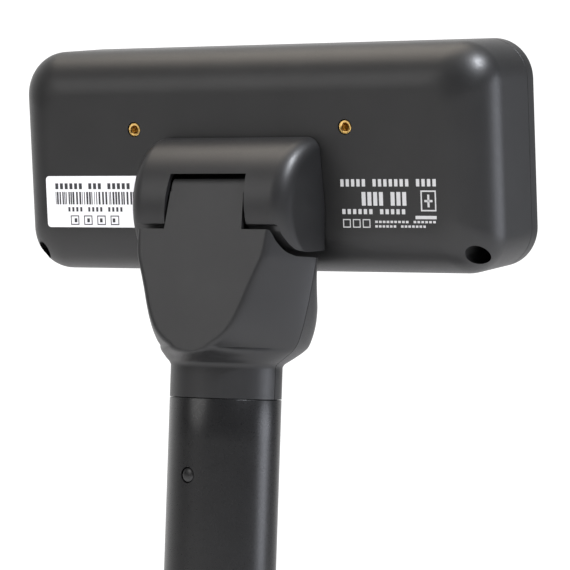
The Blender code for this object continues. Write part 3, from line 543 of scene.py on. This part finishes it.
def make_label():
    """The label with its bars and stripes, and the bars printed on the cover beside the hood."""
    label = skin(
        "label",
        rounded_plate(41.0, 94.0, -27.0, -5.5, 1.6, [(0.0, 0.15), (0.0, 0.31), (0.04, 0.35)]),
        on_head,
    )
    finish(label, "rear_label_skin", "head", LABEL_PAPER, ["rear_label"])
    ink = dash_row(89.8, 52.0, -8.5, -11.0, (6, 3, 5), 0.18, 1)
    ink += stripe_row(89.4, 50.2, -12.1, -17.4, 11)
    ink += dash_row(83.8, 56.0, -18.5, -20.4, (4, 4, 4), 0.24, 1)
    for k, x in enumerate((80.2, 73.6, 67.0, 60.4)):
        ink += outline_box(x - 2.1, x + 2.1, -26.0, -22.0, 0.45)
        ink += [(x - 1.1 + 0.3 * k, x + 0.2 + 0.3 * k, -24.9, -23.2)]
    finish(bars_mesh("ink", ink, 0.352, 0.372), "rear_label_print", "head", LABEL_INK)
    paint = dash_row(-46.0, -89.2, -7.1, -10.0, (5, 7, 4), 0.2, 1)
    paint += dash_row(-55.4, -76.0, -12.2, -17.6, (4, 3), 0.16, 1)
    paint += outline_box(-88.6, -81.9, -19.8, -11.6, 0.55)
    paint += [(-87.0, -83.5, -16.2, -15.3), (-85.7, -84.8, -18.2, -13.2)]
    paint += [(-88.6, -79.4, -22.9, -21.6)]
    paint += dash_row(-46.4, -75.4, -19.0, -21.0, (6, 5), 0.2, 1)
    for x in (-48.8, -53.2, -57.6):
        paint += outline_box(x - 1.7, x + 1.7, -26.4, -23.0, 0.4)
    paint += dash_row(-61.2, -88.4, -23.6, -24.5, (9, 6), 0.16, 1)
    paint += dash_row(-61.2, -84.0, -25.4, -26.3, (6, 7), 0.16, 1)
    finish(bars_mesh("paint", paint, 0.01, 0.035), "rear_cover_print", "head", CASE_INK)


def rounded_plate(x0, x1, z0, z1, corner, levels):
    """Rounded-rectangle rings off the head's centre: levels is a list of (step in, y)."""
    rings = []
    for step_in, y in levels:
        outline = rounded_outline((x1 - x0) / 2 - step_in, (z1 - z0) / 2 - step_in, corner - step_in, 10)
        rings.append(np.insert(outline + ((x0 + x1) / 2, (z0 + z1) / 2), 1, y, axis=1))
    return np.array(rings)


# --- Hinge hood ---


def hood_roll(inset, steps=160, rounds=14):
    """A drum about the tilt axis. At angle t its rim round is 3.6 + 4.4 (0.5 + 0.5 cos t), and its
    side leans in with the radius by the draft, which is full at the rear and none ahead."""
    t = np.arange(steps) * 2 * np.pi / steps
    rear = 0.5 + 0.5 * np.cos(t)
    radius = HOOD_R - inset
    side = HOOD_SIDE - inset
    rim = (3.6 + 4.4 * rear) - 0.5 * inset
    draft = HOOD_DRAFT * rear
    rings = []
    for share in (0.0, 0.25, 0.5):
        rings.append(np.stack([side - draft * share * radius, np.full(steps, share * radius)], -1))
    for a in np.linspace(0.0, np.pi / 2, rounds + 1):
        r = radius - rim + rim * np.sin(a)
        rings.append(np.stack([side - draft * (radius - rim) - rim * (1 - np.cos(a)), r], -1))
    right = np.array(rings)
    left = right[::-1] * (-1.0, 1.0)
    both = np.concatenate([right, left])
    x, r = both[..., 0], both[..., 1]
    return np.stack([x, r * np.cos(t), r * np.sin(t)], -1)


def make_hood():
    """The drum cut to the cover's surface and the lip, notched for the tongue and hollowed, with
    bosses for the shaft and the screws. The notch's half width follows a straight line in z."""
    hood = skin("hood", hood_roll(0.0), on_tilt)
    cavity = skin("hood_cavity", hood_roll(HOOD_WALL, 96, 8), on_tilt)
    outline = [(-20.0, -17.9), (3.7, -17.5), *smooth_line(HOOD_LIP)]
    outline += [(45.0, -4.6), (45.0, -45.0), (-20.0, -45.0)]
    below = prism(outline, 55.0, on_tilt)
    ahead = skin("ahead", head_rings(-0.3, -COVER_DEPTH), on_head)
    top_x, top_z, lip_x, lip_z, low_z = 17.4, 15.1, 18.9, -5.3, -20.0
    slope = (top_x - lip_x) / (top_z - lip_z)
    low_x = lip_x + (low_z - lip_z) * slope
    ring = np.array([(-low_x, low_z), (low_x, low_z), (top_x, top_z), (-top_x, top_z)])
    notch = skin("notch", [np.insert(ring, 1, y, axis=1) for y in (10.0, 50.0)], on_tilt)
    carve(hood, [ahead, below, notch, cavity])
    screws = [(x, 0.0, z + HEAD_RISE) for x, _, z in HOOD_SCREWS]
    bosses = [rod(7.0, *sorted((side * 23.0, side * 38.0)), 0, place=on_tilt) for side in (-1, 1)]
    bosses += [rod(3.1, HEAD_BACK + 0.4, 8.0, 1, spot, on_tilt, 32) for spot in screws]
    carve(hood, bosses, "UNION")
    holes = [rod(3.3, -30.2, 30.2, 0, place=on_tilt)]
    holes.append(block((-60.0, -20.0, -20.0), (60.0, HEAD_BACK + 0.3, 20.0), on_tilt))
    holes += [rod(1.7, -3.0, 7.0, 1, spot, on_tilt, 24) for spot in screws]
    carve(hood, holes)
    finish(hood, "hinge_hood_skin", "head", NECK_ABS, ["hinge_hood"])


# --- Neck ---


def neck_body(inset, levels, steps=256):
    """Rings of the neck. Each is a superellipse whose half width, front, rear and power follow the
    height, averaged over a few millimetres above the collar, and its rear is blended into the
    slanted rear plane by a smooth minimum."""
    heights, *measures = np.array(NECK_SECTIONS).T
    z = np.asarray(levels, float)[:, None]
    reach = np.linspace(-2.2, 2.2, 9) * np.clip((z[..., None] - 14.4) / 4.0, 0.0, 1.0)
    spread = z[..., None] + reach
    half, front, rear = (np.interp(spread, heights, m).mean(axis=-1) - inset for m in measures)
    t = np.arange(steps)[None] * 2 * np.pi / steps
    c, s = np.cos(t), np.sin(t)
    rear_power = np.interp(z, [14.2, 17.0, 20.6], [2.0, 1.6, 1.2])
    power = np.where(s > 0, rear_power, np.interp(z, [14.0, 21.0], [2.0, 2.5]))
    x = half * np.sign(c) * np.abs(c) ** (2 / power)
    y = np.where(s > 0, rear, front) * np.sign(s) * np.abs(s) ** (2 / power)
    plane = SHOULDER_Y + REAR_SLOPE * (SHOULDER_Z - z) - inset
    blend = 2.0
    share = np.clip(0.5 + 0.5 * (plane - y) / blend, 0.0, 1.0)
    y = plane * (1 - share) + y * share - blend * share * (1 - share)
    return np.stack([x, y, np.broadcast_to(z, x.shape)], -1)


def tongue_side(side):
    """Leaves the tongue standing: its width narrows upward, and the S line is its foot."""
    s_line = [(10.3, 57.2), (15.1, 58.8), (19.0, 62.1), (21.5, 65.6), (22.4, 66.8), (23.5, SHOULDER_Z)]
    outline = [(-45.0, 57.1), *smooth_line(s_line), (45.0, SHOULDER_Z), (45.0, 95.0), (-45.0, 95.0)]
    outline = np.array(outline)
    share = np.minimum((outline[:, 1] - SHOULDER_Z) / 20.5, 1.3)
    near = side * (17.8 + (16.4 - 17.8) * share)
    rings = [np.column_stack([x, outline]) for x in (near, np.full(len(outline), side * 50.0))]
    return skin("tongue_side", rings, on_neck)


def neck_shell(name, levels, front):
    """Half of the neck: the body hollowed round its floor, screw posts and rear shelf, cleared
    above and beside the tongue, cut at the parting plane and bored for its screws."""
    shell = skin(name, neck_body(0.0, levels), on_neck)
    inner = np.concatenate([[-3.0], levels[1:-1:2], [92.0]])
    cavity = skin("cavity", neck_body(NECK_WALL, inner, 128), on_neck)
    kept = [block((-25.0, -25.0, 2.0), (25.0, 25.0, 4.6), on_neck)]
    kept += [rod(3.9, -60.0, 60.0, 1, spot, on_neck, 32) for spot in NECK_SCREWS]
    if not front:
        kept.append(block((-45.0, NECK_SPLIT, 37.5), (45.0, 22.0, 40.7), on_neck))
    carve(cavity, kept)
    crest = smooth_line([(16.9, 85.6), (17.6, 87.3), (18.8, 86.9), (19.6, 85.2), (20.2, 82.0)])
    above = [(-50.0, 57.1), (10.3, 57.2), (15.1, 58.8), (17.4, 61.0), *crest]
    above += [(30.0, 82.0), (50.0, 96.0), (-50.0, 96.0)]
    cutters = [cavity, rod(13.6, -5.0, 10.0, 2, place=on_neck)]
    cutters += [prism(above, 55.0, on_neck), tongue_side(-1), tongue_side(1)]
    carve(shell, cutters)
    if front:
        holes = [block((-60.0, -NECK_SPLIT, -10.0), (60.0, 60.0, 100.0), on_neck)]
        for spot in NECK_SCREWS:
            holes.append(rod(1.8, -20.0, 1.0, 1, spot, on_neck, 24))
            holes.append(rod(3.5, -60.0, -14.0, 1, spot, on_neck))
    else:
        holes = [block((-60.0, -60.0, -10.0), (60.0, NECK_SPLIT, 100.0), on_neck)]
        for spot, bracket_spot in zip(NECK_SCREWS, BRACKET_SCREWS):
            holes.append(rod(1.7, -1.0, 12.0, 1, spot, on_neck, 24))
            holes.append(rod(1.8, 30.0, 45.0, 2, bracket_spot, on_neck, 24))
    carve(shell, holes)
    finish(shell, name + "_skin", "neck", NECK_ABS, [name])


def make_neck():
    """Both shells and their screws. The rings lie closest where the collar flares out."""
    collar, flare = [0.12, 6.0, 12.0], np.linspace(13.0, 21.0, 17)
    cheeks, tongue = np.linspace(22.0, 57.0, 36), np.linspace(59.0, 90.0, 14)
    levels = np.concatenate([collar, flare, cheeks, tongue])
    neck_shell("neck_rear_shell", levels, front=False)
    neck_shell("neck_front_shell", levels, front=True)
    for k, (x, _, z) in enumerate(NECK_SCREWS):
        screw = crossed_screw(2.9, 2.0, 1.4, 22.0, 1, 1, (x, -14.0, z), on_neck)
        finish(screw, f"neck_screw_{k + 1}_skin", "neck", BORE_SHADE_STEEL, [f"neck_screw_{k + 1}"])


# --- Pole ---


def make_pole():
    """The tube's wall profile with small edge rounds, and the round hole for the snap button."""
    top = COLLAR_Z - 0.12
    near = np.linspace(BUTTON_Z - 6.0, BUTTON_Z + 6.0, 13)
    heights = (POLE_BOTTOM + 0.3, 60.0, 110.0, 160.0, 200.0, *near, 245.0, top - 0.3)
    outer = [(POLE_R, z) for z in heights]
    profile = [(POLE_R - 0.3, POLE_BOTTOM), *outer, (POLE_R - 0.1, top - 0.1), (POLE_R - 0.3, top)]
    profile += [(POLE_R - POLE_WALL, top), (POLE_R - POLE_WALL, POLE_BOTTOM)]
    tube = turned("tube", profile, 2, steps=192, loop=True)
    button_hole = rod(3.25, 12.0, 30.0, 1, place=on_button)
    carve(tube, [button_hole, rod(2.3, -30.0, -10.0, 1, (0.0, 0.0, LOCK_SCREW_Z))])
    finish(tube, "pole_tube_skin", "pole", TUBE_PAINT, ["pole_tube"])
    dome = [(2.9 * np.cos(t), 21.9 + 0.9 * np.sin(t)) for t in np.linspace(0.0, np.pi / 2, 10)]
    profile = [(0.0, 14.2), (1.6, 14.2), (1.6, 18.7), (4.3, 18.7), (4.3, 20.2), (2.9, 20.2), *dome]
    button = turned("button", profile, 1, place=on_button)
    finish(button, "snap_button_skin", "snap_button", TUBE_PAINT, ["snap_button"])
    screw = crossed_screw(3.6, 1.8, 1.8, 8.0, 1, 1, (0.0, -POLE_R - 0.2, LOCK_SCREW_Z), in_place)
    finish(screw, "pole_lock_screw_skin", "pole", BORE_SHADE_STEEL, ["pole_lock_screw"])


# --- Base ---


def base_outline(step_in):
    return rounded_outline(BASE_X - step_in, BASE_Y - step_in, BASE_CORNER - step_in, 25, 24)


def circle_outline(radius):
    """A circle with its points at the angles of the base's outline, so that the two can blend."""
    t = np.arctan2(*base_outline(BASE_FILLET).T[::-1])
    return radius * np.stack([np.cos(t), np.sin(t)], -1)


def make_base():
    """Rings up the wall, round the top fillet, in across the flat, up the boss, down the pole's
    hole and back under the top to the rim."""
    a = np.linspace(0.0, np.pi / 2, 13)
    rings = [(base_outline(0.0), BASE_RIM)]
    rings += [
        (base_outline(BASE_FILLET * (1 - np.cos(t))), BASE_HEIGHT - BASE_FILLET + BASE_FILLET * np.sin(t))
        for t in a
    ]
    flat = base_outline(BASE_FILLET + 0.5)
    rings.append((flat, BASE_HEIGHT))
    rings.append((circle_outline(34.5), BASE_HEIGHT))
    boss = smooth_line([(32.4, 24.0), (30.2, 25.0), (28.6, 27.4), (27.9, 30.5), (27.3, 34.2)], 5)
    rings += [(circle_outline(r), z) for r, z in boss]
    rings += [(circle_outline(27.3 - 1.6 * (1 - np.cos(t))), 34.4 + 1.6 * np.sin(t)) for t in a[1::2]]
    rings += [(circle_outline(23.3), 36.0), (circle_outline(22.9), 35.6), (circle_outline(22.9), 21.6)]
    rings += [(base_outline(6.0), 21.4), (base_outline(3.4), 19.6), (base_outline(2.6), 17.0)]
    rings.append((base_outline(2.6), BASE_RIM))
    cover = skin("cover", [np.insert(outline, 2, z, axis=1) for outline, z in rings], loop=True)
    carve(cover, [rod(5.6, 40.0, 80.0, 1, CABLE_OUTLET)])
    post = [(1.8, 6.6), (4.0, 6.6), (4.0, 22.0), (1.8, 22.0)]
    carve(cover, [turned("post", post, 2, spot, loop=True) for spot in FEET], "UNION")
    finish(cover, "base_cover_skin", "pole", NECK_ABS, ["base_cover"])
    foot = [(2.6, 0.0), (8.2, 0.0), (8.6, 0.15), (8.85, 0.45), (9.0, 1.0), (9.0, 2.7), (8.8, 2.9)]
    foot += [(4.2, 2.9), (4.2, 2.0), (2.6, 2.0)]
    for k, spot in enumerate(FEET):
        piece = turned("foot", foot, 2, spot, loop=True)
        finish(piece, f"rubber_foot_{k + 1}_skin", "pole", RUBBER, [f"rubber_foot_{k + 1}"])
    grommet = [(3.4, 60.9), (7.0, 60.9), (7.0, 62.1), (5.3, 62.1), (5.3, 64.5), (5.15, 64.8), (4.9, 64.9)]
    grommet += [(3.7, 64.9), (3.48, 64.82), (3.4, 64.6)]
    piece = turned("grommet", grommet, 1, CABLE_OUTLET, loop=True)
    finish(piece, "cable_grommet_skin", "pole", RUBBER, ["cable_grommet"])


def finish_inner_parts():
    """Gives each CAD part that stays shown the finish of its material slot."""
    for entry in frame["record"]["subparts"]:
        part = frame["nodes"][entry["node"]]
        part.data.materials.clear()
        part.data.materials.append(SLOT_FINISHES[entry["material_slot"]])


# --- Floor, light and camera ---


def make_floor():
    """A wide pale disc with a faint glow of its own."""
    floor = turned("floor", [(0.0, -4.0), (2500.0, -4.0), (2500.0, 0.0), (0.0, 0.0)], 2, steps=128)
    paint = textured("pale_floor", (0.62, 0.62, 0.63), 0.7, (40.0, 0.00002, 0.65, 0.75))
    shader = paint.node_tree.nodes["Principled BSDF"]
    shader.inputs["Emission Color"].default_value = (1.0, 1.0, 1.0, 1.0)
    shader.inputs["Emission Strength"].default_value = FLOOR_GLOW
    floor.data.materials.append(paint)


def make_backdrop():
    """White light whose strength is the larger of two fades: one toward the bright side, and one
    overhead. The camera itself sees plain white behind the object."""
    world = bpy.data.worlds.new("studio")
    world.use_nodes = True
    bpy.context.scene.world = world
    tree = world.node_tree
    nodes, links = tree.nodes, tree.links
    sky = nodes["Background"]
    sky.inputs["Color"].default_value = (1.0, 1.0, 1.0, 1.0)
    place = nodes.new("ShaderNodeTexCoord")
    toward = nodes.new("ShaderNodeVectorMath")
    toward.operation = "DOT_PRODUCT"
    toward.inputs[1].default_value = BRIGHT_SIDE
    links.new(place.outputs["Generated"], toward.inputs[0])
    split = nodes.new("ShaderNodeSeparateXYZ")
    links.new(place.outputs["Generated"], split.inputs["Vector"])
    side = carried_over(tree, toward.outputs["Value"], (0.35, 0.95), (0.06, 1.15))
    overhead = carried_over(tree, split.outputs["Z"], (0.55, 0.95), (0.0, 0.6))
    path = nodes.new("ShaderNodeLightPath")
    strength = larger(tree, larger(tree, side, overhead), path.outputs["Is Camera Ray"])
    links.new(strength, sky.inputs["Strength"])


def larger(tree, first, second):
    """The larger of two values."""
    node = tree.nodes.new("ShaderNodeMath")
    node.operation = "MAXIMUM"
    tree.links.new(first, node.inputs[0])
    tree.links.new(second, node.inputs[1])
    return node.outputs["Value"]


def soft_light(name, spot, target, size, power, colour, in_gloss):
    """A disc lamp at a spot, turned to its target."""
    data = bpy.data.lights.new(name, "AREA")
    data.shape = "DISK"
    data.size = size
    data.energy = power
    data.color = colour
    light = bpy.data.objects.new(name, data)
    bpy.context.scene.collection.objects.link(light)
    back = np.array(spot) - np.array(target)
    light.matrix_world = facing(spot, back / np.linalg.norm(back))
    light.visible_glossy = in_gloss


def facing(spot, back):
    """A matrix whose z axis is back and whose x axis is level."""
    right = np.cross((0.0, 0.0, 1.0), back)
    right /= np.linalg.norm(right)
    return posed(spot, right, np.cross(back, right), back)


def posed(spot, right, up, back):
    """A matrix from a place and its three axes."""
    matrix = np.eye(4)
    matrix[:3, :3] = np.column_stack([right, up, back])
    matrix[:3, 3] = spot
    return Matrix(matrix.tolist())


def make_camera():
    """Looks along the yaw and pitch, and rolls about the line of sight."""
    level = np.array([np.sin(CAMERA_YAW), -np.cos(CAMERA_YAW), 0.0])
    ahead = level * np.cos(CAMERA_PITCH) + np.array([0.0, 0.0, np.sin(CAMERA_PITCH)])
    side = np.cross(level, (0.0, 0.0, 1.0))
    over = np.cross(side, ahead)
    right = side * np.cos(CAMERA_ROLL) + over * np.sin(CAMERA_ROLL)
    up = over * np.cos(CAMERA_ROLL) - side * np.sin(CAMERA_ROLL)
    data = bpy.data.cameras.new("camera")
    data.lens = CAMERA_LENS
    data.sensor_width = CAMERA_SENSOR
    data.clip_end = 50.0
    camera = bpy.data.objects.new("camera", data)
    bpy.context.scene.collection.objects.link(camera)
    camera.matrix_world = posed(np.array(CAMERA_SPOT) * MM, right, up, -ahead)
    bpy.context.scene.camera = camera


make_rear_cover()
make_bezel()
make_head_hardware()
make_label()
make_hood()
make_neck()
make_pole()
make_base()
finish_inner_parts()
make_floor()
make_backdrop()
bpy.context.scene.view_settings.view_transform = "Standard"
for light in STUDIO_LIGHTS:
    soft_light(*light)
make_camera()
